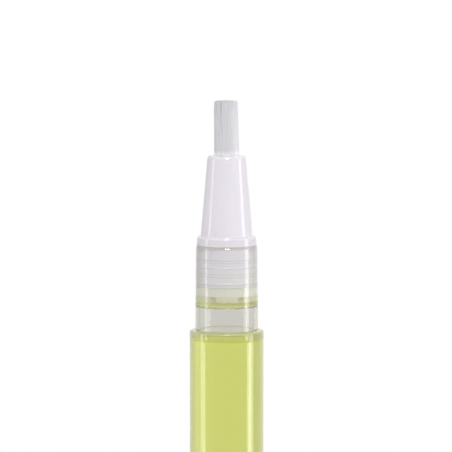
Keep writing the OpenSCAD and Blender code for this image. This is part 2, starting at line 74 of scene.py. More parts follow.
# Roughness of each plastic, sizes of its grain and flow in millimetres, its relief, light inside it, and wear
PLASTICS = {
    "Nozzle white": (0.12, 0.06, 2.5, 0.015, 0.12, 0.15),
    "Knob white": (0.26, 0.06, 3.0, 0.05, 0.1, 0.8),
    "End plug white": (0.32, 0.06, 2.0, 0.06, 0.1, 0.9),
    "Shoulder painted face": (0.12, 0.06, 2.0, 0.05, 0.0, 0.3),
    "Oil surface painted light": (0.06, 0.2, 3.0, 0.02, 0.0, 0.0),
    "Flow insert": (0.3, 0.08, 1.0, 0.08, 0.2, 0.0),
    "Piston seal": (0.38, 0.08, 1.5, 0.08, 0.3, 0.2),
    "Feed tube": (0.35, 0.05, 1.0, 0.05, 0.4, 0.0),
    "Ferrule": (0.3, 0.05, 1.0, 0.05, 0.0, 0.1),
    "Guide sleeve": (0.3, 0.05, 3.0, 0.06, 0.15, 0.3),
    "Rod nut": (0.34, 0.05, 1.5, 0.06, 0.15, 0.3),
    "Rod": (0.3, 0.05, 1.5, 0.06, 0.1, 0.3),
    "Drive sleeve": (0.34, 0.05, 2.0, 0.06, 0.0, 0.3),
    "Click ring": (0.3, 0.05, 1.0, 0.06, 0.0, 0.3),
    "Friction ring": (0.55, 0.1, 1.0, 0.2, 0.0, 0.6),
}


def reach(name, axis=0):
    """The highest coordinate of a CAD node along an axis, in metres."""
    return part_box(name)[1][axis]


def foot(name, axis=2):
    """The lowest coordinate of a CAD node along an axis, in metres."""
    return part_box(name)[0][axis]


def in_mm(*sizes):
    """Sizes in metres as millimetres."""
    return [size / MM for size in sizes]


def length(name, description, default, low=0.0, high=0.2):
    """A size of the pen that a user can change, in metres."""
    return FloatProperty(name=name, description=description, default=default, min=low, max=high,
                         unit="LENGTH", subtype="DISTANCE", precision=6)


def tint(name, description, default):
    """A colour that a user can change, in linear red, green and blue."""
    return FloatVectorProperty(name=name, description=description, default=default, size=3, min=0, max=1,
                               subtype="COLOR")


class PenSizes(bpy.types.PropertyGroup):
    """Sizes of the visible pieces. Those that a CAD node fixes have their default from its box: a bore is a
    hair wider than what it holds, and the oil stands a little lower than the solid."""
    body_r: length("Body radius", "Radius of the barrel and the knob", reach("barrel"))
    bore_r: length("Bore radius", "Radius of the barrel's bore", reach("piston") + 0.03 * MM)
    neck_r: length("Neck radius", "Radius of the neck at its top", 4.135 * MM)
    land_r: length("Land radius", "Radius of the land that a cap grips", 4.23 * MM)
    neck_bore_r: length("Neck bore", "Radius of the neck's bore", reach("neck_oil") + 0.02 * MM)
    barrel_z: length("Barrel foot", "Height of the barrel's lower edge", foot("barrel"))
    shoulder_z: length("Shoulder", "Height of the barrel's shoulder", 94 * MM)
    roof_z: length("Roof", "Height of the shoulder's inner face", 92.8 * MM)
    neck_z: length("Neck top", "Height of the neck's rim", reach("barrel", 2))
    oil_z: length("Oil level", "Height of the oil in the neck", reach("oil", 2) - 0.2 * MM)
    film_z: length("Film", "Height of the foot of the oil that clings in the neck", foot("neck_oil"))
    creep: length("Creep", "How far the oil climbs a wall", 0.07 * MM)
    tip_z: length("Nozzle tip", "Height of the nozzle's tip", reach("nozzle", 2))
    tuft_r: length("Tuft radius", "Radius of the tuft at the nozzle's tip", 1.735 * MM)
    tuft_tip_r: length("Tuft tip radius", "Radius of the tuft at its cut end", 1.60 * MM)
    tuft_z: length("Tuft top", "Height of the tuft's cut end", reach("bristles", 2))
    lean: length("Lean", "How far the tuft's top stands to the left", -0.10 * MM, -0.2 * MM)
    strands: IntProperty(name="Strands", description="Filaments in the tuft", default=860, min=200, max=1400)
    strand_r: length("Strand radius", "Radius of a filament", 0.052 * MM)
    flutes: IntProperty(name="Flutes", description="Flutes round the knob", default=20, min=8, max=32)
    flute_depth: length("Flute depth", "Depth of a flute", 0.22 * MM)


class PenColours(bpy.types.PropertyGroup):
    """Colours of the finishes, and how strong the light is."""
    nozzle: tint("Nozzle", "White plastic of the nozzle", (0.79, 0.753, 0.81))
    knob: tint("Knob", "White plastic of the knob", (0.80, 0.78, 0.83))
    shell: tint("Shell", "Tint of the clear barrel", (0.90, 0.90, 0.885))
    # The tints of the neck and of the air gap are painted shade: they darken those zones of the clear barrel
    neck: tint("Neck", "Tint of the clear neck round the nozzle's plug", (0.745, 0.745, 0.715))
    gap: tint("Air gap", "Tint of the clear neck round the air bubble", (0.757, 0.752, 0.718))
    oil: tint("Oil", "Colour that the oil lets through", (0.849, 0.877, 0.012))
    # Painted light: the oil's level faces are drawn as an opaque pale sheet in place of clear oil
    skin: tint("Oil surface painted light", "Pale look of the oil's level surfaces", (0.95, 0.945, 0.78))
    # Painted: the clear shoulder's upper face is drawn opaque and matt, coloured like the oil seen through it
    # and darker as painted shade where the neck meets it
    shoulder: tint("Shoulder", "Matt upper face of the barrel's shoulder", (0.50, 0.52, 0.27))
    insert: tint("Insert", "Pale plastic of the flow insert", (0.875, 0.87, 0.79))
    tuft: tint("Tuft", "Nylon of the tuft", (0.80, 0.79, 0.82))
    seal: tint("Seal", "Soft plastic of the piston", (0.83, 0.83, 0.81))
    drive: tint("Drive", "Plastic of the rod, the nut and the rings", (0.80, 0.80, 0.78))
    oil_density: FloatProperty(name="Oil density", description="How strongly the oil absorbs, per metre",
                               default=252, min=0, max=2000)
    ambient: FloatProperty(name="Ambient", description="Strength of the plain light from all round",
                           default=0.50, min=0, max=1)


def soften(corners, steps=5):
    """Rounds a closed outline of rows [radius, height, rounding] in millimetres. Each corner P becomes the
    curve (1 - t)² S + 2 t (1 - t) P + t² E, with S and E at the rounding's distance along its two sides. A
    point just outside each end keeps the flat sides flat in the shading."""
    # A rounding takes at most this share of a side, the point outside is at lead times the distance of the
    # end, and points closer together than same, in millimetres, are one
    most, lead, same = 0.42, 1.15, 1e-6
    table = np.asarray(corners, float)
    p, rounding = table[:, :2], table[:, 2:]
    back, on = np.roll(p, 1, 0) - p, np.roll(p, -1, 0) - p
    back_len, on_len = (np.linalg.norm(v, axis=1, keepdims=True) for v in (back, on))
    grip = np.minimum(rounding, most * np.minimum(back_len, on_len))
    back, on = back / back_len * grip, on / on_len * grip
    t = np.linspace(0, 1, steps)[None, :, None]
    start, corner, end = (p + back)[:, None], p[:, None], (p + on)[:, None]
    arcs = (1 - t) ** 2 * start + 2 * t * (1 - t) * corner + t ** 2 * end
    ring = np.concatenate([(p + lead * back)[:, None], arcs, (p + lead * on)[:, None]], 1).reshape(-1, 2)
    apart = np.linalg.norm(ring - np.roll(ring, 1, 0), axis=1) > same
    return ring[apart] * MM


def turned(outline, sides=SIDES, radius=None):
    """Carries a closed outline round the Z axis: point (i, j) is (r cos a, r sin a, z), with
    a = 2 pi i / sides and r, z from the outline's row j. Where radius is given, r = radius(a, r, z)."""
    a = 2 * np.pi * np.arange(sides)[:, None] / sides
    r, z = outline[None, :, 0], outline[None, :, 1]
    if radius is not None:
        r = radius(a, r, z)
    r = np.broadcast_to(r, (sides, len(outline)))
    points = np.stack([r * np.cos(a), r * np.sin(a), np.broadcast_to(z, r.shape)], -1).reshape(-1, 3)
    i, j = np.meshgrid(np.arange(sides), np.arange(len(outline)), indexing="ij")
    rows = len(outline)
    k, m = (i + 1) % sides, (j + 1) % rows
    faces = np.stack([i * rows + j, k * rows + j, k * rows + m, i * rows + m], -1)
    # Faces between two points on the axis have no width
    middle = np.abs(outline[:, 0]) < 1e-9
    flat = middle & np.roll(middle, -1)
    return points, faces[~flat[j]].reshape(-1, 4)


def cover(made, finish, chosen):
    """Gives a second finish to the faces of a piece for which chosen(centre, normal) is true, with both given
    as arrays of X, Y, Z."""
    mesh, count = made.data, len(made.data.polygons)
    centre, normal = np.empty(3 * count), np.empty(3 * count)
    mesh.polygons.foreach_get("center", centre)
    mesh.polygons.foreach_get("normal", normal)
    mesh.materials.append(finish)
    second = chosen(centre.reshape(-1, 3), normal.reshape(-1, 3))
    mesh.polygons.foreach_set("material_index", second.astype(np.int32))


def joined(*parts):
    """One list of points and faces from several."""
    points, faces, start = [], [], 0
    for p, f in parts:
        points.append(p)
        faces += (np.asarray(f) + start).tolist()
        start += len(p)
    return np.concatenate(points), faces


def volume(points, faces):
    """Signed volume of four-sided faces: the sum of a . (b x c) / 6 over their triangles."""
    f = np.asarray(faces)
    total = 0.0
    for k in (1, 2):
        a, b, c = points[f[:, 0]], points[f[:, k]], points[f[:, k + 1]]
        total += np.einsum("ij,ij->i", a, np.cross(b, c)).sum() / 6
    return total


def piece(name, shape, body, finish, nodes):
    """Puts points and faces into a mesh with its poles merged and its faces outwards, makes it ride on a
    body, and hides the CAD nodes that it stands for."""
    # Points closer together than same, in metres, are one, and edges over crease degrees are sharp
    same, crease = 1e-7, 38
    points, faces = shape
    faces = [list(f) for f in faces]
    if volume(points, faces) < 0:
        faces = [f[::-1] for f in faces]
    mesh = bpy.data.meshes.new(name)
    mesh.from_pydata(points.tolist(), [], faces)
    work = bmesh.new()
    work.from_mesh(mesh)
    bmesh.ops.remove_doubles(work, verts=work.verts, dist=same)
    work.to_mesh(mesh)
    work.free()
    mesh.polygons.foreach_set("use_smooth", np.ones(len(mesh.polygons), bool))
    mesh.set_sharp_from_angle(angle=np.radians(crease))
    mesh.materials.append(finish)
    made = bpy.data.objects.new(name, mesh)
    bpy.context.scene.collection.objects.link(made)
    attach(made, body)
    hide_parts(*nodes)
    return made


def join(tree, value, socket):
    """Links an output socket to an input, or sets the input to a plain value."""
    if isinstance(value, bpy.types.NodeSocket):
        tree.links.new(value, socket)
    else:
        socket.default_value = value


def fill(tree, made, **values):
    """Sets or links the sockets of a node, and its settings, by name."""
    for key, value in values.items():
        label = key.replace("_", " ")
        if label in made.inputs:
            join(tree, value, made.inputs[label])
        else:
            setattr(made, key, value)


def node(tree, kind, **values):
    """A shader node with its settings and socket values, laid out in rows in the order of making. Its kind is
    the name of its type after ShaderNode."""
    row, place = divmod(len(tree.nodes), NODES_A_ROW)
    made = tree.nodes.new("ShaderNode" + kind)
    made.location = ((place - NODES_A_ROW - 1) * NODE_SPACE, -row * NODE_SPACE)
    fill(tree, made, **values)
    return made


def math(tree, operation, a, b=0.0, clamp=False):
    """The result of a Math node."""
    made = node(tree, "Math", operation=operation, use_clamp=clamp)
    for socket, value in zip(made.inputs, (a, b)):
        join(tree, value, socket)
    return made.outputs[0]


def over(tree, value, limit, gain):
    """A mask from 0 to 1: how far a value is over a limit, times a gain."""
    return math(tree, "MULTIPLY", math(tree, "SUBTRACT", value, limit, True), gain, True)


def step(tree, value, start, end):
    """A smooth step from 0 to 1 as the value goes from start to end."""
    return node(tree, "MapRange", interpolation_type="SMOOTHSTEP", Value=value, From_Min=start,
                From_Max=end).outputs["Result"]


def shades(tree, share, low, high):
    """A colour that goes from low to high as the mask share goes from 0 to 1."""
    made = node(tree, "Mix", data_type="RGBA", Factor=share)
    for place, value in ((MIX_A, low), (MIX_B, high)):
        join(tree, value if isinstance(value, bpy.types.NodeSocket) else (*value, 1), made.inputs[place])
    return made.outputs[MIX_RESULT]


def mixed(tree, share, first, second):
    """A shader that goes from first to second as share goes from 0 to 1."""
    made = node(tree, "MixShader")
    for socket, value in zip(made.inputs, (share, first, second)):
        tree.links.new(value, socket)
    return made.outputs[0]


def place_at(tree):
    """The place of a point on its piece, in metres."""
    return node(tree, "TexCoord").outputs["Object"]


def height_at(tree):
    """The height of a point on its piece, in metres."""
    return node(tree, "SeparateXYZ", Vector=place_at(tree)).outputs["Z"]


def radius_at(tree):
    """The distance of a point on its piece from the Z axis, in metres."""
    flat = node(tree, "VectorMath", operation="MULTIPLY", Vector=place_at(tree))
    flat.inputs[1].default_value = (1, 1, 0)
    return node(tree, "VectorMath", operation="LENGTH", Vector=flat.outputs[0]).outputs["Value"]


def noise(tree, stretch=(1, 1, 1), **values):
    """A mask of noise on the piece, whose pattern is squeezed by stretch along X, Y and Z."""
    where = place_at(tree)
    if stretch != (1, 1, 1):
        where = node(tree, "Mapping", Vector=where, Scale=stretch).outputs[0]
    return node(tree, "TexNoise", Vector=where, **values).outputs["Fac"]


def group(name, inputs, outputs):
    """A shader node group with named sockets: (name, kind, default) for inputs and (name, kind) for
    outputs."""
    tree = bpy.data.node_groups.new(name, "ShaderNodeTree")
    for label, kind, default in inputs:
        socket = tree.interface.new_socket(label, in_out="INPUT", socket_type="NodeSocket" + kind)
        socket.default_value = default
    for label, kind in outputs:
        tree.interface.new_socket(label, in_out="OUTPUT", socket_type="NodeSocket" + kind)
    return tree, tree.nodes.new("NodeGroupInput"), tree.nodes.new("NodeGroupOutput")


def placed(tree, made, **values):
    """The outputs of a node group that is placed in a material with its own values."""
    return node(tree, "Group", node_tree=made, **values).outputs


def moulded_skin():
    """Group: the skin of moulded plastic. Height is a fine grain over slow flow waves, and Tone is 0.5 with a
    slow drift up and down along the flow. Both sizes are in millimetres."""
    if "Moulded skin" in bpy.data.node_groups:
        return bpy.data.node_groups["Moulded skin"]
    tree, put, take = group("Moulded skin", [("Grain size", "Float", 0.05), ("Flow size", "Float", 3.0)],
                            [("Height", "Float"), ("Tone", "Float")])
    grain_share = 0.35
    grain_scale, flow_scale = (math(tree, "DIVIDE", 1 / MM, put.outputs[label])
                               for label in ("Grain size", "Flow size"))
    grain = noise(tree, Detail=2.0, Scale=grain_scale)
    flow = noise(tree, (1, 1, 0.35), Detail=1.5, Scale=flow_scale)
    fill(tree, take, Height=math(tree, "ADD", math(tree, "MULTIPLY", grain, grain_share), flow), Tone=flow)
    return tree


def handled():
    """Group: marks of handling. Haze is a mask of faint smears, and Scuff a mask of thin short scratches that
    run round the piece."""
    if "Handled" in bpy.data.node_groups:
        return bpy.data.node_groups["Handled"]
    tree, put, take = group("Handled", [("Amount", "Float", 0.5)], [("Haze", "Float"), ("Scuff", "Float")])
    smear = noise(tree, Scale=260.0, Detail=3.0, Distortion=0.6)
    line = noise(tree, (0.3, 0.3, 14), Scale=700.0, Detail=2.0)
    haze, scuff = over(tree, smear, limit=0.48, gain=3.0), over(tree, line, limit=0.66, gain=8.0)
    amount = put.outputs["Amount"]
    fill(tree, take, Haze=math(tree, "MULTIPLY", haze, amount), Scuff=math(tree, "MULTIPLY", scuff, amount))
    return tree


def lengthwise():
    """Group: fine streaks along Z, as drawn wire and filaments have. Streak is a mask from 0 to 1, and Width
    is in millimetres."""
    if "Lengthwise" in bpy.data.node_groups:
        return bpy.data.node_groups["Lengthwise"]
    tree, put, take = group("Lengthwise", [("Width", "Float", 0.1)], [("Streak", "Float")])
    scale = math(tree, "DIVIDE", 1 / MM, put.outputs["Width"])
    fill(tree, take, Streak=noise(tree, (1, 1, 0.04), Detail=2.0, Scale=scale))
    return tree


def ring_marks(heights):
    """Group: thin rings round the Z axis. Mark is 1 at each height, in millimetres, and falls to 0 within the
    distance fade."""
    fade = 0.1 * MM
    tree, put, take = group("Ring marks", [("Amount", "Float", 1.0)], [("Mark", "Float")])
    high, whole = height_at(tree), 0.0
    for height in heights:
        off = math(tree, "ABSOLUTE", math(tree, "SUBTRACT", high, height * MM))
        line = math(tree, "SUBTRACT", 1.0, math(tree, "MULTIPLY", off, 1 / fade), True)
        whole = math(tree, "MAXIMUM", line, whole)
    fill(tree, take, Mark=math(tree, "MULTIPLY", whole, put.outputs["Amount"]))
    return tree


def blank(name):
    """A material with a Principled BSDF and nothing else."""
    made = bpy.data.materials.new(name)
    made.use_nodes = True
    tree = made.node_tree
    return made, tree, tree.nodes["Principled BSDF"]


def moulded(tree, bsdf, grain, flow, bump, deep):
    """Gives a shader the relief of a moulded skin, and returns the mask of its tone. Grain and flow are sizes
    in millimetres, bump is the relief's strength, and deep its depth in metres."""
    skin = placed(tree, moulded_skin(), Grain_size=grain, Flow_size=flow)
    relief = node(tree, "Bump", Strength=bump, Distance=deep, Height=skin["Height"])
    fill(tree, bsdf, Normal=relief.outputs[0])
    return skin["Tone"]


def plastic(name, colour, ior=1.5, rings=(), soak_and_shade=()):
    """Moulded plastic: its colour drifts by a hair along the flow, smears and scratches dull it, and a fine
    grain is in its gloss. Rings are the heights of thin darker beige lines, in millimetres. Soak and shade is
    (low, high, factor): between these heights, in metres, the colour is changed by that factor: an oil stain
    on the flow insert's tail, and painted shade at the foot of the nozzle's collar."""
    roughness, grain, flow, bump, soft, wear = PLASTICS[name]
    drift, blur, hazed, scuffed, ring_tint = 0.025, 0.1 * MM, 0.10, 0.12, [0.86, 0.84, 0.74]
    made, tree, bsdf = blank(name)
    tone = moulded(tree, bsdf, grain, flow, bump, 0.03 * MM)
    marks = placed(tree, handled(), Amount=wear)
    colour = np.array(colour)
    base = shades(tree, tone, colour * (1 - drift), np.minimum(colour * (1 + drift), 1))
    if rings:
        lines = placed(tree, ring_marks(rings), Amount=0.8)
        base = shades(tree, lines["Mark"], base, colour * ring_tint)
    if soak_and_shade:
        low, top, factor = soak_and_shade
        high = height_at(tree)
        edges = [step(tree, high, edge - blur, edge + blur) for edge in (low, top)]
        base = shades(tree, math(tree, "SUBTRACT", *edges), base, colour * factor)
    rough = math(tree, "ADD", roughness, math(tree, "MULTIPLY", marks["Haze"], hazed))
    rough = math(tree, "ADD", rough, math(tree, "MULTIPLY", marks["Scuff"], scuffed), True)
    fill(tree, bsdf, Base_Color=base, Roughness=rough, IOR=ior)
    if soft:
        fill(tree, bsdf, Subsurface_Weight=soft, Subsurface_Radius=(0.9, 0.85, 0.95),
             Subsurface_Scale=0.8 * MM)
    return made


def level_faces(tree, roof, film):
    """A mask of the level faces at the height roof, between the shoulder and the oil, and of the middle of
    those at the height film, under the insert. The view passes nearly straight through them."""
    # How near counts as at a height, how much is let through, how upright the normal of a sloped and of a
    # level face is, and where the oil's curved edge starts and ends
    near, through, sloped, flat, edge_end, edge_start = 0.5 * MM, 0.92, 0.12, 0.45, 3.3 * MM, 2.9 * MM
    normal = node(tree, "NewGeometry").outputs["Normal"]
    upright = math(tree, "ABSOLUTE", node(tree, "SeparateXYZ", Vector=normal).outputs["Z"])
    level = math(tree, "MULTIPLY", step(tree, upright, sloped, flat), through)
    high = height_at(tree)
    at_roof, at_film = (
        math(tree, "LESS_THAN", math(tree, "ABSOLUTE", math(tree, "SUBTRACT", high, z)), near)
        for z in (roof, film))
    middle = step(tree, radius_at(tree), edge_end, edge_start)
    return math(tree, "MULTIPLY", level,
                math(tree, "MAXIMUM", at_roof, math(tree, "MULTIPLY", at_film, middle)))


def light_inside(tree, bsdf, level):
    """Lets the light for what a clear piece holds pass straight through it, and the view through its level
    faces."""
    ray = node(tree, "LightPath").outputs
    light = math(tree, "MAXIMUM", ray["Is Shadow Ray"], ray["Is Diffuse Ray"])
    clear = node(tree, "BsdfTransparent").outputs[0]
    seen = mixed(tree, math(tree, "MAXIMUM", light, level), bsdf.outputs[0], clear)
    fill(tree, tree.nodes["Material Output"], Surface=seen)


def clear_shell(colours, roof, gap_low, film, plug_low, rim):
    """Clear moulded plastic of the barrel, with slow waves in its walls and faint scratches. Its tint changes
    with the height, as painted shade and painted light: the one clear plastic is darker in some zones and
    lighter in others. Each zone has a second tint, painted shade and light of the wall's edges, which shows
    where the view runs along the wall."""
    made, tree, bsdf = blank("Clear shell")
    high, out = height_at(tree), radius_at(tree)
    facing = node(tree, "LayerWeight", Blend=0.5).outputs["Facing"]
    shell, gap, neck = (np.array(c) for c in (colours.shell, colours.gap, colours.neck))
    gap_top, gap_blur = film + 0.3 * MM, 0.2
    # Foot of each zone, its blur in millimetres, and its tint across the wall and along it: the solid
    # shoulder, the air gap, round the insert, the plug's foot, its upper part, and the rim. All are painted
    # shade and light; the rim's pale tint is painted light where the collar shades the plug
    zones = (
        (roof, 0.05, shell * 0.85, shell * 0.82),
        (gap_low, gap_blur, gap, gap * [0.24, 0.24, 0.2]),
        (gap_top, gap_blur, neck * 1.03, neck * [1.12, 1.12, 1.08]),
        (plug_low, 0.1, neck * [0.975, 1.015, 0.935], neck * [0.86, 0.86, 0.71]),
        (plug_low + 2.4 * MM, 1.6, neck * [0.98, 1.02, 1.015], neck * [0.86, 0.86, 0.76]),
        (rim - 0.3 * MM, 0.1, np.array([1, 0.97, 0.8]), neck * [0.86, 0.84, 0.74]))

    def above(low, blur):
        """A mask of what is over a height, with a soft edge."""
        return step(tree, high, low - blur * MM, low + blur * MM)

    across, along = shell, shell * 0.92
    for low, blur, next_across, next_along in zones:
        mask = above(low, blur)
        across, along = shades(tree, mask, across, next_across), shades(tree, mask, along, next_along)
    # The second tint starts early in most zones, but round the air gap it is a thin dark line of painted
    # shade at the bore's edge
    outer = step(tree, out, 3.8 * MM, 3.95 * MM)
    wide, thin = step(tree, facing, 0.22, 0.56), step(tree, facing, 0.7, 0.86)
    thin = math(tree, "MULTIPLY", thin, math(tree, "SUBTRACT", 1.0, outer))
    in_gap = math(tree, "SUBTRACT", above(gap_low, gap_blur), above(gap_top, gap_blur))
    edge = math(tree, "ADD", wide, math(tree, "MULTIPLY", in_gap, math(tree, "SUBTRACT", thin, wide)))
    base = shades(tree, edge, across, along)
    # Painted shade: a darker, yellower streak on the neck's outer curve round the air gap, where the view runs
    # along it
    painted_edge_shade = math(tree, "MULTIPLY", math(tree, "MULTIPLY", in_gap, outer), step(tree, facing, 0.42, 0.6))
    base = shades(tree, painted_edge_shade, base, gap * [0.66, 0.645, 0.47])
    scuff = placed(tree, handled(), Amount=0.5)["Scuff"]
    fill(tree, bsdf, Base_Color=base, Roughness=math(tree, "MULTIPLY", scuff, 0.05), Transmission_Weight=1,
         IOR=1.5)
    moulded(tree, bsdf, grain=1.2, flow=6.0, bump=0.12, deep=0.05 * MM)
    light_inside(tree, bsdf, level_faces(tree, roof, film))
    return made


def nail_oil(colours, roof, film):
    """Clear oil that absorbs blue most, so thick oil is yellow-green and thin oil pale."""
    made, tree, bsdf = blank("Nail oil")
    fill(tree, bsdf, Base_Color=(1, 1, 1, 1), Roughness=0.0, IOR=1.46, Transmission_Weight=1)
    moulded(tree, bsdf, grain=2.0, flow=5.0, bump=0.05, deep=0.03 * MM)
    light_inside(tree, bsdf, level_faces(tree, roof, film))
    soak = node(tree, "VolumeAbsorption", Color=(*colours.oil, 1), Density=colours.oil_density)
    fill(tree, tree.nodes["Material Output"], Volume=soak.outputs[0])
    return made


def nylon(colours, root):
    """Nylon filaments: each strand has its own tone, a little darker towards -X as painted shade, fine streaks
    run along it, and light passes a little. Just over the height root they are paler: painted light, as from
    the white nozzle under them."""
    dark, pale, root_painted_light, own_share, streak_share, rough, streak_rough = 0.8, 1.17, 1.3, 0.6, 0.4, 0.42, 0.2
    made, tree, bsdf = blank("Nylon")
    tone = node(tree, "Attribute", attribute_name="strand_tone_and_shade").outputs["Fac"]
    streak = placed(tree, lengthwise(), Width=0.12)["Streak"]
    both = math(tree, "ADD", math(tree, "MULTIPLY", tone, own_share),
                math(tree, "MULTIPLY", streak, streak_share), True)
    colour = np.array(colours.tuft)
    base = shades(tree, both, colour * dark, np.minimum(colour * pale, 1))
    # Painted light: the strands are paler just over the nozzle's tip
    low = step(tree, height_at(tree), root + 0.8 * MM, root + 0.1 * MM)
    fill(tree, bsdf, Base_Color=shades(tree, low, base, np.minimum(colour * root_painted_light, 1)),
         Roughness=math(tree, "ADD", rough, math(tree, "MULTIPLY", streak, streak_rough)), IOR=1.4,
         Subsurface_Weight=0.25, Subsurface_Radius=(0.6, 0.6, 0.62), Subsurface_Scale=0.3 * MM)
    return made


def steel():
    """Drawn spring steel, with streaks from the die."""
    dark, bright, rough, streak_rough = (0.46, 0.46, 0.47), (0.66, 0.66, 0.67), 0.2, 0.25
    made, tree, bsdf = blank("Spring steel")
    streak = placed(tree, lengthwise(), Width=0.08)["Streak"]
    fill(tree, bsdf, Base_Color=shades(tree, streak, dark, bright), Metallic=1,
         Roughness=math(tree, "ADD", rough, math(tree, "MULTIPLY", streak, streak_rough)))
    return made


def settings(context):
    """The pen's sizes and colours in the scene."""
    return context.scene.nail_pen_sizes, context.scene.nail_pen_colours


class MakeBarrel(bpy.types.Operator):
    """Makes the clear barrel with its shoulder and neck as one turned shell"""
    bl_idname = "nail_pen.barrel"
    bl_label = "Barrel"

    def execute(self, context):
        size, colours = settings(context)
        body, bore, land = in_mm(size.body_r, size.bore_r, size.land_r)
        neck, hole = in_mm(size.neck_r, size.neck_bore_r)
        low, shoulder, roof, top = in_mm(size.barrel_z, size.shoulder_z, size.roof_z, size.neck_z)
        outline = soften([
            # The foot, the outer wall, and a narrow chamfer at the shoulder
            [bore, low, 0.08], [body, low, 0.18], [body, shoulder - 0.2, 0.03],
            [body - 0.045, shoulder - 0.11, 0.02], [body - 0.2, shoulder, 0.08],
            # The cap's land, the neck above it, and the bevel on its rim
            [land, shoulder, 0.06], [land, shoulder + 4.6, 0.04], [neck + 0.06, shoulder + 4.7, 0.04],
            [neck, top - 0.27, 0.03], [neck - 0.07, top - 0.13, 0.03], [neck - 0.085, top, 0.02],
            # The neck's bore and the roof of the barrel's
            [hole, top, 0.05], [hole, roof, 0.12], [bore, roof, 0.5]], steps=7)
        clear = clear_shell(colours, size.roof_z, size.oil_z, size.film_z, foot("nozzle"), size.neck_z)
        made = piece("barrel_shell", turned(outline, FINE_SIDES), "barrel", clear, ["barrel"])
        # Painted: an opaque matt face on the clear shoulder, coloured like the oil under it and darker as
        # painted shade where the neck meets it
        painted_shoulder = plastic("Shoulder painted face", colours.shoulder)
        upward, near = 0.25, 0.25 * MM
        cover(made, painted_shoulder, lambda c, n: (n[:, 2] > upward) & (np.abs(c[:, 2] - size.shoulder_z) < near))
        return {"FINISHED"}


class MakeOil(bpy.types.Operator):
    """Makes the oil in the barrel and the oil that clings in the neck"""
    bl_idname = "nail_pen.oil"
    bl_label = "Oil"

    def execute(self, context):
        size, colours = settings(context)
        bore, hole = size.bore_r / MM + OVERLAP, size.neck_bore_r / MM + OVERLAP
        # The oil starts a hair inside the piston's top
        low = foot("oil") / MM - 0.015
        roof, level, film, creep = in_mm(size.roof_z, size.oil_z, size.film_z, size.creep)
        column = soften([
            # The column under the roof
            [0, low, 0], [bore, low, 0.02], [bore, roof + OVERLAP, 0.5], [hole, roof + OVERLAP, 0.1],
            # Its level in the neck, with the climb at the wall
            [hole, level + creep, 0], [hole - 0.12, level + 0.5 * creep, 0.15], [hole - 0.7, level, 0.7],
            [0, level, 0]], steps=7)
        oil = nail_oil(colours, size.roof_z, size.film_z)
        made = piece("barrel_oil", joined(turned(column), self.specks()), "barrel", oil, ["oil"])
        skin = plastic("Oil surface painted light", colours.skin)
        # Painted light: the clear oil's level faces are an opaque pale sheet; its metallic gloss mirrors the
        # bright neck seen along it
        skin.node_tree.nodes["Principled BSDF"].inputs["Metallic"].default_value = 0.85
        upward, over_roof = 0.1, size.roof_z + 0.3 * MM
        cover(made, skin, lambda c, n: (n[:, 2] > upward) & (c[:, 2] > over_roof))
        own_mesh(made)
        top = reach("neck_oil", 2) / MM + OVERLAP
        ring = soften([
            # The curved foot, drawn down at the wall, and the flat top under the plug
            [0, film, 0], [hole - 0.75, film, 0.7], [hole - 0.15, film - 0.09, 0.2],
            [hole, film - 0.2, 0], [hole, top, 0.02], [0, top, 0]], steps=7)
        piece("clinging_oil", turned(ring), "barrel", oil, ["neck_oil"])
        return {"FINISHED"}

    def specks(self):
        """Tiny bubbles in the oil: point (u, v) of each is its centre plus its radius times
        (sin u cos v, sin u sin v, cos u), with the faces inwards because the oil is outside."""
        # X, Y, Z and radius of each, in millimetres
        spots = np.array([[-1.6, 3.0, 90.0, 0.07], [2.7, -1.2, 88.0, 0.06], [2.5, 1.7, 86.0, 0.08],
                          [3.3, -2.0, 86.1, 0.05], [-2.9, -1.5, 80.2, 0.06], [1.1, -3.1, 76.4, 0.07]]) * MM
        rows, sides = 8, 12
        down, around = np.linspace(0, np.pi, rows), 2 * np.pi * np.arange(sides) / sides
        u, v = np.meshgrid(down, around, indexing="ij")
        ball = np.stack([np.sin(u) * np.cos(v), np.sin(u) * np.sin(v), np.cos(u)], -1)
        i, j = np.meshgrid(np.arange(rows - 1) * sides, np.arange(sides), indexing="ij")
        k = (j + 1) % sides
        faces = np.stack([i + j, i + k, i + sides + k, i + sides + j], -1).reshape(-1, 4)
        points = (spots[:, None, None, :3] + spots[:, None, None, 3:] * ball).reshape(-1, 3)
        return points, (faces[None] + rows * sides * np.arange(len(spots))[:, None, None]).reshape(-1, 4)


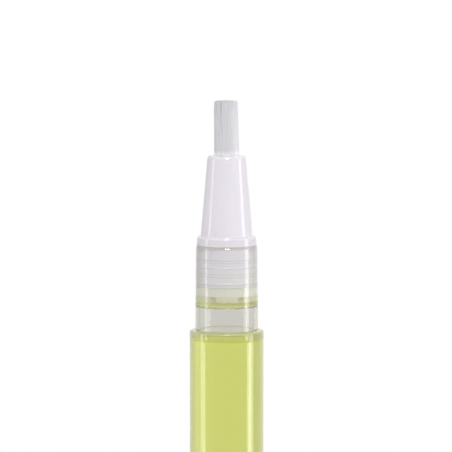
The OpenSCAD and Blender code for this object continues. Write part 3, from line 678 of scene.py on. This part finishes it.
class MakeNozzle(bpy.types.Operator):
    """Makes the white nozzle: cone, collar, and the beaded plug inside the clear neck"""
    bl_idname = "nail_pen.nozzle"
    bl_label = "Nozzle"

    def execute(self, context):
        size, colours = settings(context)
        # Radii of the plug in the neck's bore, the insert's stem, the feed tube, the tuft's socket and mouth
        grip, stem, tube, socket, mouth = size.neck_bore_r / MM + 0.01, 1.83, 0.48, 2.10, 1.71
        low, rim, tip = in_mm(foot("nozzle"), size.neck_z, size.tip_z)
        stem_top, socket_low, seat = low + 3, tip - 6.6, rim + 0.002
        # Each bead's height over the plug's foot, half its width, and its rise, in millimetres
        beads = [[grip + rise * up, low + h + half * off, 0.02]
                 for h, half, rise in ((0.53, 0.18, 0.056), (2.68, 0.15, 0.047), (3.8, 0.11, 0.026))
                 for off, up in ((-1, 0), (0, 1), (1, 0))]
        outline = soften([
            [stem, low, 0.05], [grip, low, 0.04], *beads,
            # The collar: its seat on the rim, its straight side, the bevel on its edge, and its shelf
            [grip, seat, 0], [4.0, seat, 0.03], [4.065, rim + 0.06, 0.04], [3.972, rim + 1.06, 0.05],
            [3.957, rim + 1.089, 0.04], [3.872, rim + 1.215, 0.08], [3.52, rim + 1.31, 0.05],
            # The cone's upper end, and the lip that closes on the tuft
            [2.61, tip - 0.35, 0.05], [2.565, tip - 0.26, 0.05], [2.42, tip, 0.1], [mouth, tip, 0.08],
            [mouth, tip - 0.22, 0.03],
            # Inside: the socket, the tube's channel, and the stem's bore
            [socket, tip - 0.24, 0.02], [socket, socket_low, 0.05], [tube, socket_low, 0.03],
            [tube, stem_top, 0.03], [stem, stem_top, 0.03]], steps=7)
        white = plastic("Nozzle white", colours.nozzle, ior=1.56,
                        # Thin darker beige lines round the plug; those at 5.42 and 5.57 mm are painted shade in
                        # the joint under the collar and at the collar's foot
                        rings=[low + h for h in (0.25, 1.44, 1.82, 3.35, 3.69, 5.42, 5.57)],
                        # Painted shade: the collar is darker from the rim up to 0.95 mm, towards its foot
                        soak_and_shade=(rim * MM, rim * MM + 0.95 * MM, [0.93, 0.93, 0.925]))
        piece("nozzle_cone", turned(outline, FINE_SIDES), "barrel", white, ["nozzle"])
        return {"FINISHED"}


class MakeInsert(bpy.types.Operator):
    """Makes the pale flow insert: a stem in the plug, a land in the neck, and a slotted tail in the oil"""
    bl_idname = "nail_pen.insert"
    bl_label = "Flow insert"

    def execute(self, context):
        size, colours = settings(context)
        low, plug, top = in_mm(foot("flow_insert"), foot("nozzle"), reach("flow_insert", 2))
        # Radii of the tail, the land, the stem, the feed tube and the inlet, and the tail's height
        tail, land = reach("flow_insert") / MM + 0.1, size.neck_bore_r / MM - 0.05
        stem, tube, inlet, taper = 1.8, 0.48, 0.3, 0.86
        under, tube_low = plug - 0.002, plug + 1
        # Rows along the tail's wall give the slots' ends their shape
        wall = [[tail + (land - tail) * up / taper, low + up, 0] for up in (0.3, 0.6, 0.68, 0.74, 0.8)]
        outline = soften([
            [inlet, low, 0.05], [tail, low, 0.08], *wall, [land, low + taper, 0.05], [land, under, 0.02],
            [stem, under, 0.05], [stem, top, 0.1], [tube, top, 0.05], [tube, tube_low, 0.02],
            [inlet, tube_low, 0.02]])
        slots, half_wide, deep, blur = 6, 0.32 * MM, 0.3 * MM, 0.12 * MM
        slot_top, outer = (low + 0.7) * MM, 0.9 * tail * MM

        def slotted(a, r, z):
            """The tail's wall less its slots: a shallow bed, with soft sides and a soft upper end."""
            side = tail * MM * np.abs(np.sin(((a * slots / (2 * np.pi) + 0.5) % 1 - 0.5) * 2 * np.pi / slots))
            bed = np.clip((half_wide - side) / blur + 0.5, 0, 1)
            end = np.clip((slot_top - z) / blur + 0.5, 0, 1)
            return r - deep * bed * end * (r > outer)

        # An oil stain: the tail is darker and yellower from under its foot to just over the slots
        pale = plastic("Flow insert", colours.insert,
                       soak_and_shade=(low * MM - MM, low * MM + 0.8 * MM, [0.96, 0.96, 0.84]))
        shape = turned(outline, 40 * slots, slotted)
        piece("flow_insert_tail", shape, "barrel", pale, ["flow_insert"])
        return {"FINISHED"}


class MakeTuft(bpy.types.Operator):
    """Makes the brush: several hundred drawn filaments set in a disc of backing"""
    bl_idname = "nail_pen.tuft"
    bl_label = "Tuft"

    def execute(self, context):
        size, colours = settings(context)
        rng = np.random.default_rng(5)
        count, sides, rings = size.strands, 6, 8
        backing = 0.9
        root_z, tip_z, top_z = foot("bristles") + backing * MM, size.tip_z, size.tuft_z
        spread = size.tuft_r - size.strand_r
        pinch = (size.tuft_tip_r - size.strand_r) / spread
        # How far the strands stray from their places, lean and wave, and how unevenly they are cut
        stray, sway, ripple, uneven = 0.012 * MM, 0.035 * MM, 0.012 * MM, 0.14 * MM
        # Strands stand on a sunflower spiral, at distance sqrt(k / count) and angle 137.5 k degrees
        k = np.arange(count)
        out = np.sqrt((k + 0.5) / count)
        turn = k * np.radians(137.508)
        home = spread * out[:, None] * np.stack([np.cos(turn), np.sin(turn)], 1)
        home += rng.normal(0, stray, home.shape)
        t = np.linspace(0, 1, rings)
        z = root_z + t * (top_z - root_z)
        rise = np.clip((z - tip_z) / (top_z - tip_z), 0, 1)
        # Centre line: the root, drawn in towards the tip, plus a lean and a wave that grow with the height
        lean = rng.normal(0, sway, (count, 1, 2)) * rise[None, :, None] ** 1.5
        wave = rng.normal(0, ripple, (count, 1, 2)) * np.sin(
            2 * np.pi * (rise[None, :, None] + rng.random((count, 1, 1)))) * rise[None, :, None]
        centre = home[:, None] * (1 + (pinch - 1) * rise)[None, :, None] + lean + wave
        # No strand leaves the tuft's outline
        far = np.linalg.norm(centre, axis=2, keepdims=True)
        bound = (size.tuft_r + (size.tuft_tip_r - size.tuft_r) * rise)[None, :, None] - 0.9 * size.strand_r
        centre *= np.minimum(1, bound / np.maximum(far, 1e-9))
        centre[:, :, 0] += size.lean * rise[None]
        # The cut is uneven, and a little lower at the edge
        drop = rng.random(count) * uneven + 0.10 * MM * out ** 8
        height = z[None] - drop[:, None] * t[None] ** 4
        # Each strand has its own thickness, thins by about an eighth, and narrows at its cut end
        thick = size.strand_r * (1 - 0.12 * rise)[None] * rng.normal(1, 0.06, (count, 1)).clip(0.85, 1.15)
        thick[:, -1] *= 0.72
        a = 2 * np.pi * (np.arange(sides)[None] / sides + rng.random((count, 1)))
        ring = np.stack([np.cos(a), np.sin(a)], -1)
        flat = centre[:, :, None] + thick[:, :, None, None] * ring[:, None]
        high = np.broadcast_to(height[:, :, None, None], flat.shape[:3] + (1,))
        points = np.concatenate([flat, high], -1).reshape(-1, 3)
        n, r, s = np.meshgrid(k, np.arange(rings - 1), np.arange(sides), indexing="ij")
        m, own = (s + 1) % sides, n * rings * sides
        walls = np.stack([own + r * sides + s, own + r * sides + m, own + (r + 1) * sides + m,
                          own + (r + 1) * sides + s], -1).reshape(-1, 4)
        ends = (k[:, None] * rings + rings - 1) * sides + np.arange(sides)
        roots = k[:, None] * rings * sides + np.arange(sides)[::-1]
        # A six-sided cap is two faces of four sides
        caps = np.concatenate([e[:, c] for e in (ends, roots) for c in ([0, 1, 2, 3], [0, 3, 4, 5])])
        shape = joined((points, np.concatenate([walls, caps])), self.core(size, root_z, backing))
        made = piece("tuft", shape, "barrel", nylon(colours, tip_z), ["bristles"])
        tone = np.full(len(made.data.vertices), 0.5, np.float32)
        # Painted shade: the strands are a little greyer towards -X, the side that gets less light
        drift = 0.5 + 0.5 * home[:, 0] / spread
        tone_and_painted_shade = np.repeat(0.4 * rng.random(count) + 0.6 * drift, rings * sides).astype(np.float32)
        tone[:len(tone_and_painted_shade)] = tone_and_painted_shade
        made.data.attributes.new("strand_tone_and_shade", "FLOAT", "POINT").data.foreach_set("value", tone)
        return {"FINISHED"}

    def core(self, size, root_z, backing):
        """The disc of backing and a core that fills the tuft: a turned outline, moved along X by the tuft's
        lean times each point's share of the way from the nozzle's tip to the cut end."""
        low, tip, top = in_mm(root_z, size.tip_z, size.tuft_z)
        disc_r, disc_top, core_top = 1.79, low + 0.1, top - 0.35
        low_r, top_r = 0.9 * size.tuft_r / MM, 0.9 * size.tuft_tip_r / MM
        points, faces = turned(soften([
            [0, low - backing, 0], [disc_r, low - backing, 0.05], [disc_r, disc_top, 0.05],
            [low_r, disc_top, 0.02], [low_r, tip, 0.05], [top_r, core_top, 0.1], [0, core_top, 0]], 3), 48)
        points[:, 0] += size.lean * np.clip((points[:, 2] - size.tip_z) / (size.tuft_z - size.tip_z), 0, 1)
        return points, faces


class MakePiston(bpy.types.Operator):
    """Makes the soft piston with its two rounded lips"""
    bl_idname = "nail_pen.piston"
    bl_label = "Piston"

    def execute(self, context):
        colours = settings(context)[1]
        lip, low, top = in_mm(reach("piston"), foot("piston"), reach("piston", 2))
        # The waist between the lips, and the mouth and chamber for the rod's ball
        waist, mouth, ball = lip - 0.55, 1.2, 1.52
        mouth_top, chamber_top, crown = low + 0.55, low + 3.6, top - 0.7
        outline = soften([
            [mouth, low, 0.08], [lip - 0.12, low, 0.1], [lip, low + 0.3, 0.2], [lip, low + 1.0, 0.2],
            [waist, low + 1.3, 0.3], [waist, top - 1.3, 0.3], [lip, top - 1.0, 0.2], [lip, top, 0.12],
            [lip - 0.5, top, 0.15], [lip - 1.0, crown, 0.3], [0, crown, 0], [0, chamber_top, 0],
            [ball, chamber_top, 0.3], [ball, mouth_top, 0.1], [mouth, mouth_top, 0.05]], steps=6)
        soft = plastic("Piston seal", colours.seal)
        piece("piston_seal", turned(outline), "piston", soft, ["piston"])
        return {"FINISHED"}


class MakeKnob(bpy.types.Operator):
    """Makes the fluted twist knob and the plug that closes it"""
    bl_idname = "nail_pen.knob"
    bl_label = "Knob and end plug"

    def execute(self, context):
        size, colours = settings(context)
        body, top = in_mm(size.body_r, reach("knob", 2))
        # Radii of the end plug's seat, the journal's bore and the chamber, and their heights
        seat, bore, chamber, seat_top, bore_low = 4.45, 3.82, 4.0, 0.8, 10.4
        # Rows are close together where the flutes end
        wall = [[body, z, 0] for z in np.concatenate([np.linspace(1.6, 2.6, 9), np.linspace(3.2, 12.8, 9),
                                                      np.linspace(13.4, 14.4, 9)])]
        outline = soften([
            [seat, 0, 0.06], [body, 0, 0.4], *wall, [body, top, 0.22], [bore, top, 0.1],
            [bore, bore_low, 0.05], [chamber, bore_low, 0.05], [chamber, seat_top, 0.05],
            [seat, seat_top, 0.05]], steps=7)
        depth, count, points_a_flute = size.flute_depth, size.flutes, 28
        cutter, margin, run_out, soft = 0.5 * MM, 1.8 * MM, 0.5 * MM, 0.02 * MM
        outer = 0.97 * size.body_r

        def fluted(a, r, z):
            """The outer wall less its flutes: a round cutter's arc across each flute, and a ball's rise at
            its two ends."""
            side = size.body_r * np.sin(((a * count / (2 * np.pi)) % 1 - 0.5) * 2 * np.pi / count)
            cut = np.sqrt(np.maximum(cutter ** 2 - side ** 2, 0)) - (cutter - depth)
            near = np.clip(np.minimum(z - margin, top * MM - margin - z) / run_out, 0, 1)
            blend = np.sqrt(1 - (1 - near) ** 2)
            cut = 0.5 * (cut + np.sqrt(cut ** 2 + soft ** 2))
            return r - cut * blend * (r > outer)

        white = plastic("Knob white", colours.knob)
        piece("knob_body", turned(outline, points_a_flute * count, fluted), "knob", white, ["knob"])
        # The end plug: a disc with a dimple and a groove, a flange, and a ring that stands in the chamber
        gap = 0.03
        edge, inner, rib, flange, web, rib_top = seat - gap, chamber - gap, 2.9, 0.77, 1.4, 2.9
        rib_out = rib + 0.7
        plug = soften([
            [0, 0.25, 0], [0.45, 0.25, 0.08], [0.6, 0, 0.1], [3.1, 0, 0.06], [3.2, 0.1, 0.06],
            [3.45, 0.1, 0.06], [3.55, 0, 0.06], [edge, 0, 0.12], [edge, flange, 0.03], [inner, flange, 0.03],
            [inner, web, 0.05], [rib_out, web, 0.05], [rib_out, rib_top, 0.08], [rib, rib_top, 0.08],
            [rib, web, 0.05], [0, web, 0]])
        base = plastic("End plug white", colours.knob)
        piece("end_cap", turned(plug), "knob", base, ["end_plug"])
        return {"FINISHED"}


class FinishWorks(bpy.types.Operator):
    """Gives the carried-over inner pieces their own plastics, rubber and steel"""
    bl_idname = "nail_pen.works"
    bl_label = "Inner pieces"

    def execute(self, context):
        colours = settings(context)[1]
        drive, pale, metal = np.array(colours.drive), np.array(colours.insert), steel()
        finishes = {
            "feed_tube": plastic("Feed tube", pale * 0.98),
            "brush_ferrule": plastic("Ferrule", drive),
            "guide_sleeve": plastic("Guide sleeve", drive * [1.0, 1.0, 1.03]),
            "rod_nut": plastic("Rod nut", drive * [1.0, 1.0, 0.97]),
            "threaded_rod": plastic("Rod", drive * [1.02, 1.02, 1.0]),
            "drive_sleeve": plastic("Drive sleeve", drive * [0.96, 0.98, 1.02]),
            "click_ring": plastic("Click ring", drive),
            "friction_ring": plastic("Friction ring", (0.03, 0.03, 0.032)),
            "click_spring": metal,
            "retaining_ring": metal,
        }
        for name, finish in finishes.items():
            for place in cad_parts[name].material_slots:
                place.material = finish
        return {"FINISHED"}


class MakeStage(bpy.types.Operator):
    """Makes the white floor, the lamps, the world and the camera"""
    bl_idname = "nail_pen.stage"
    bl_label = "Stage"

    def execute(self, context):
        self.floor()
        self.world(settings(context)[1].ambient)
        self.strip("Left strip", angle=-83.5, wide=0.056, power=0.11)
        self.strip("Right strip", angle=82.3, wide=0.096, power=0.22)
        self.lamp("Front lamp", Vector((0.01, -0.45, 0.62)), 0.16, 0.13, 2.3, Vector((0, 0, 0.1)))
        self.camera()
        return {"FINISHED"}

    def floor(self):
        """A flat disc: point (i, j) is (r cos a, r sin a, 0) over rings from the middle out to 40 m."""
        rings, thick, sides = np.array([0, 0.02, 0.05, 0.1, 0.2, 0.5, 2, 10, 40]), 0.01, 96
        outline = np.stack([[*rings, rings[-1], 0], [*0 * rings, -thick, -thick]], 1)
        points, faces = turned(outline, sides)
        if volume(points, faces) < 0:
            faces = faces[:, ::-1]
        mesh = bpy.data.meshes.new("floor")
        mesh.from_pydata(points.tolist(), [], faces.tolist())
        made = bpy.data.objects.new("floor", mesh)
        bpy.context.scene.collection.objects.link(made)
        paint = bpy.data.materials.new("Floor")
        paint.use_nodes = True
        tree = paint.node_tree
        tree.nodes.clear()
        where = place_at(tree)
        far = node(tree, "VectorMath", operation="LENGTH", Vector=where).outputs["Value"]
        # The floor keeps the pen's shadow near its foot, and further out the camera sees plain white
        away = step(tree, far, 0.05, 0.22)
        ray = node(tree, "LightPath").outputs
        glass = math(tree, "MAXIMUM", ray["Is Glossy Ray"], ray["Is Transmission Ray"])
        seen = math(tree, "MAXIMUM", glass, math(tree, "MULTIPLY", away, ray["Is Camera Ray"]))
        cloth = noise(tree, Scale=90.0, Detail=3.0)
        pale = node(tree, "BsdfDiffuse", Color=shades(tree, cloth, (0.86,) * 3, (0.9,) * 3))
        show = placed(tree, self.room(), Direction=where)[0]
        past_white = math(tree, "MULTIPLY", glass, math(tree, "SUBTRACT", show, 1.0))
        glow = node(tree, "Emission", Color=math(tree, "ADD", 1.0, past_white))
        both = mixed(tree, seen, pale.outputs[0], glow.outputs[0])
        node(tree, "OutputMaterial", Surface=both)
        mesh.materials.append(paint)

    def room(self):
        """Group: how bright the white room is that gloss and glass show, by the direction seen from above,
        with 0 behind the pen and a positive angle to its right."""
        if "Room" in bpy.data.node_groups:
            return bpy.data.node_groups["Room"]
        # A ramp's colours end at 1, so its tones are kept as shares of the brightest
        brightest, behind = 1.2, 0.97
        tones = ((-60, 0.98), (-53.5, 0.97), (-50, 0.84), (-45, 0.88), (-37, 0.83), (-29, 0.95), (-20, 1.0),
                 (22, 1.02), (30, 1.08), (42, 1.1), (44, 0.94), (60, 0.93))
        tree, put, take = group("Room", [("Direction", "Vector", (0, 1, 0))], [("Tone", "Float")])
        side = node(tree, "SeparateXYZ", Vector=put.outputs["Direction"]).outputs
        angle = math(tree, "DIVIDE", math(tree, "ARCTAN2", side["X"], side["Y"]), 2 * np.pi)
        ramp = node(tree, "ValToRGB", Fac=math(tree, "ADD", angle, 0.5))
        marks = ramp.color_ramp.elements
        marks[0].position, marks[1].position = 0, 1
        marks[0].color = marks[1].color = (behind / brightest,) * 3 + (1,)
        for degrees, tone in tones:
            marks.new(degrees / 360 + 0.5).color = (tone / brightest,) * 3 + (1,)
        fill(tree, take, Tone=math(tree, "MULTIPLY", ramp.outputs["Color"], brightest))
        return tree

    def world(self, ambient):
        """White for the camera, the room for gloss and glass, and for all else a plain light that is a little
        stronger from the right: ambient times 1 plus a share of the direction's X."""
        from_right = 0.26
        world = bpy.context.scene.world or bpy.data.worlds.new("World")
        bpy.context.scene.world = world
        world.use_nodes = True
        tree = world.node_tree
        tree.nodes.clear()
        where = node(tree, "TexCoord").outputs["Generated"]
        side = node(tree, "SeparateXYZ", Vector=where).outputs["X"]
        around = math(tree, "ADD", ambient, math(tree, "MULTIPLY", side, from_right * ambient))
        ray = node(tree, "LightPath").outputs
        glass = math(tree, "MAXIMUM", ray["Is Glossy Ray"], ray["Is Transmission Ray"])
        show = placed(tree, self.room(), Direction=where)[0]
        plain = math(tree, "SUBTRACT", 1.0, math(tree, "MAXIMUM", glass, ray["Is Camera Ray"]))
        tone = math(tree, "ADD", math(tree, "MULTIPLY", show, glass), ray["Is Camera Ray"])
        tone = math(tree, "ADD", tone, math(tree, "MULTIPLY", around, plain))
        sky = node(tree, "Background", Color=tone)
        node(tree, "OutputWorld", Surface=sky.outputs[0])

    def strip(self, name, angle, wide, power, distance=0.35, tall=0.21, clearance=0.005):
        """A tall soft box just over the floor, whose direction from the pen is turned by angle from the
        camera's, seen from above."""
        a = np.radians(angle)
        place = Vector((np.sin(a) * distance, -np.cos(a) * distance, tall / 2 + clearance))
        self.lamp(name, place, wide, tall, power, Vector((0, 0, place.z)))

    def lamp(self, name, place, wide, tall, power, target):
        """A soft box of a width and height in metres and a power in watts, turned to its target."""
        light = bpy.data.lights.new(name, "AREA")
        light.shape, light.size, light.size_y, light.energy = "RECTANGLE", wide, tall, power
        self.aimed(name, light, place, target)

    def camera(self):
        """The camera, about 5 degrees over the level, at the photo's angle and frame."""
        view = bpy.data.cameras.new("Camera")
        view.lens, view.sensor_width, view.clip_start, view.clip_end = 240.9, 36, 0.01, 100
        view.dof.use_dof = False
        place, target = Vector((-0.00009, -0.4061, 0.1431)), Vector((-0.00009, 0, 0.10808))
        bpy.context.scene.camera = self.aimed("Camera", view, place, target)
        bpy.context.scene.view_settings.view_transform = "Standard"

    def aimed(self, name, data, place, target):
        """Puts a lamp or camera at a place and turns it to its target."""
        made = bpy.data.objects.new(name, data)
        bpy.context.scene.collection.objects.link(made)
        made.location = place
        made.rotation_euler = (target - place).to_track_quat("-Z", "Y").to_euler()
        return made


class PenPanel(bpy.types.Panel):
    """Lists the pen's sizes, colours and pieces"""
    bl_idname = "VIEW3D_PT_nail_pen"
    bl_label = "Nail oil pen"
    bl_space_type = "VIEW_3D"
    bl_region_type = "UI"
    bl_category = "Nail oil pen"

    def draw(self, context):
        for values in settings(context):
            box = self.layout.box()
            for name in values.__annotations__:
                box.prop(values, name)
        for maker in MAKERS:
            self.layout.operator(maker.bl_idname)


MAKERS = (MakeStage, MakeBarrel, MakeOil, MakeNozzle, MakeInsert, MakeTuft, MakePiston, MakeKnob, FinishWorks)
CLASSES = (PenSizes, PenColours, *MAKERS, PenPanel)


def register():
    """Adds the classes and the scene's sizes and colours."""
    for part in CLASSES:
        bpy.utils.register_class(part)
    bpy.types.Scene.nail_pen_sizes = PointerProperty(type=PenSizes)
    bpy.types.Scene.nail_pen_colours = PointerProperty(type=PenColours)


def unregister():
    """Takes them away again."""
    del bpy.types.Scene.nail_pen_colours
    del bpy.types.Scene.nail_pen_sizes
    for part in reversed(CLASSES):
        bpy.utils.unregister_class(part)


def main():
    register()
    bpy.ops.nail_pen.stage()
    bpy.ops.nail_pen.barrel()
    bpy.ops.nail_pen.oil()
    bpy.ops.nail_pen.nozzle()
    bpy.ops.nail_pen.insert()
    bpy.ops.nail_pen.tuft()
    bpy.ops.nail_pen.piston()
    bpy.ops.nail_pen.knob()
    bpy.ops.nail_pen.works()


if __name__ == "__main__":
    main()
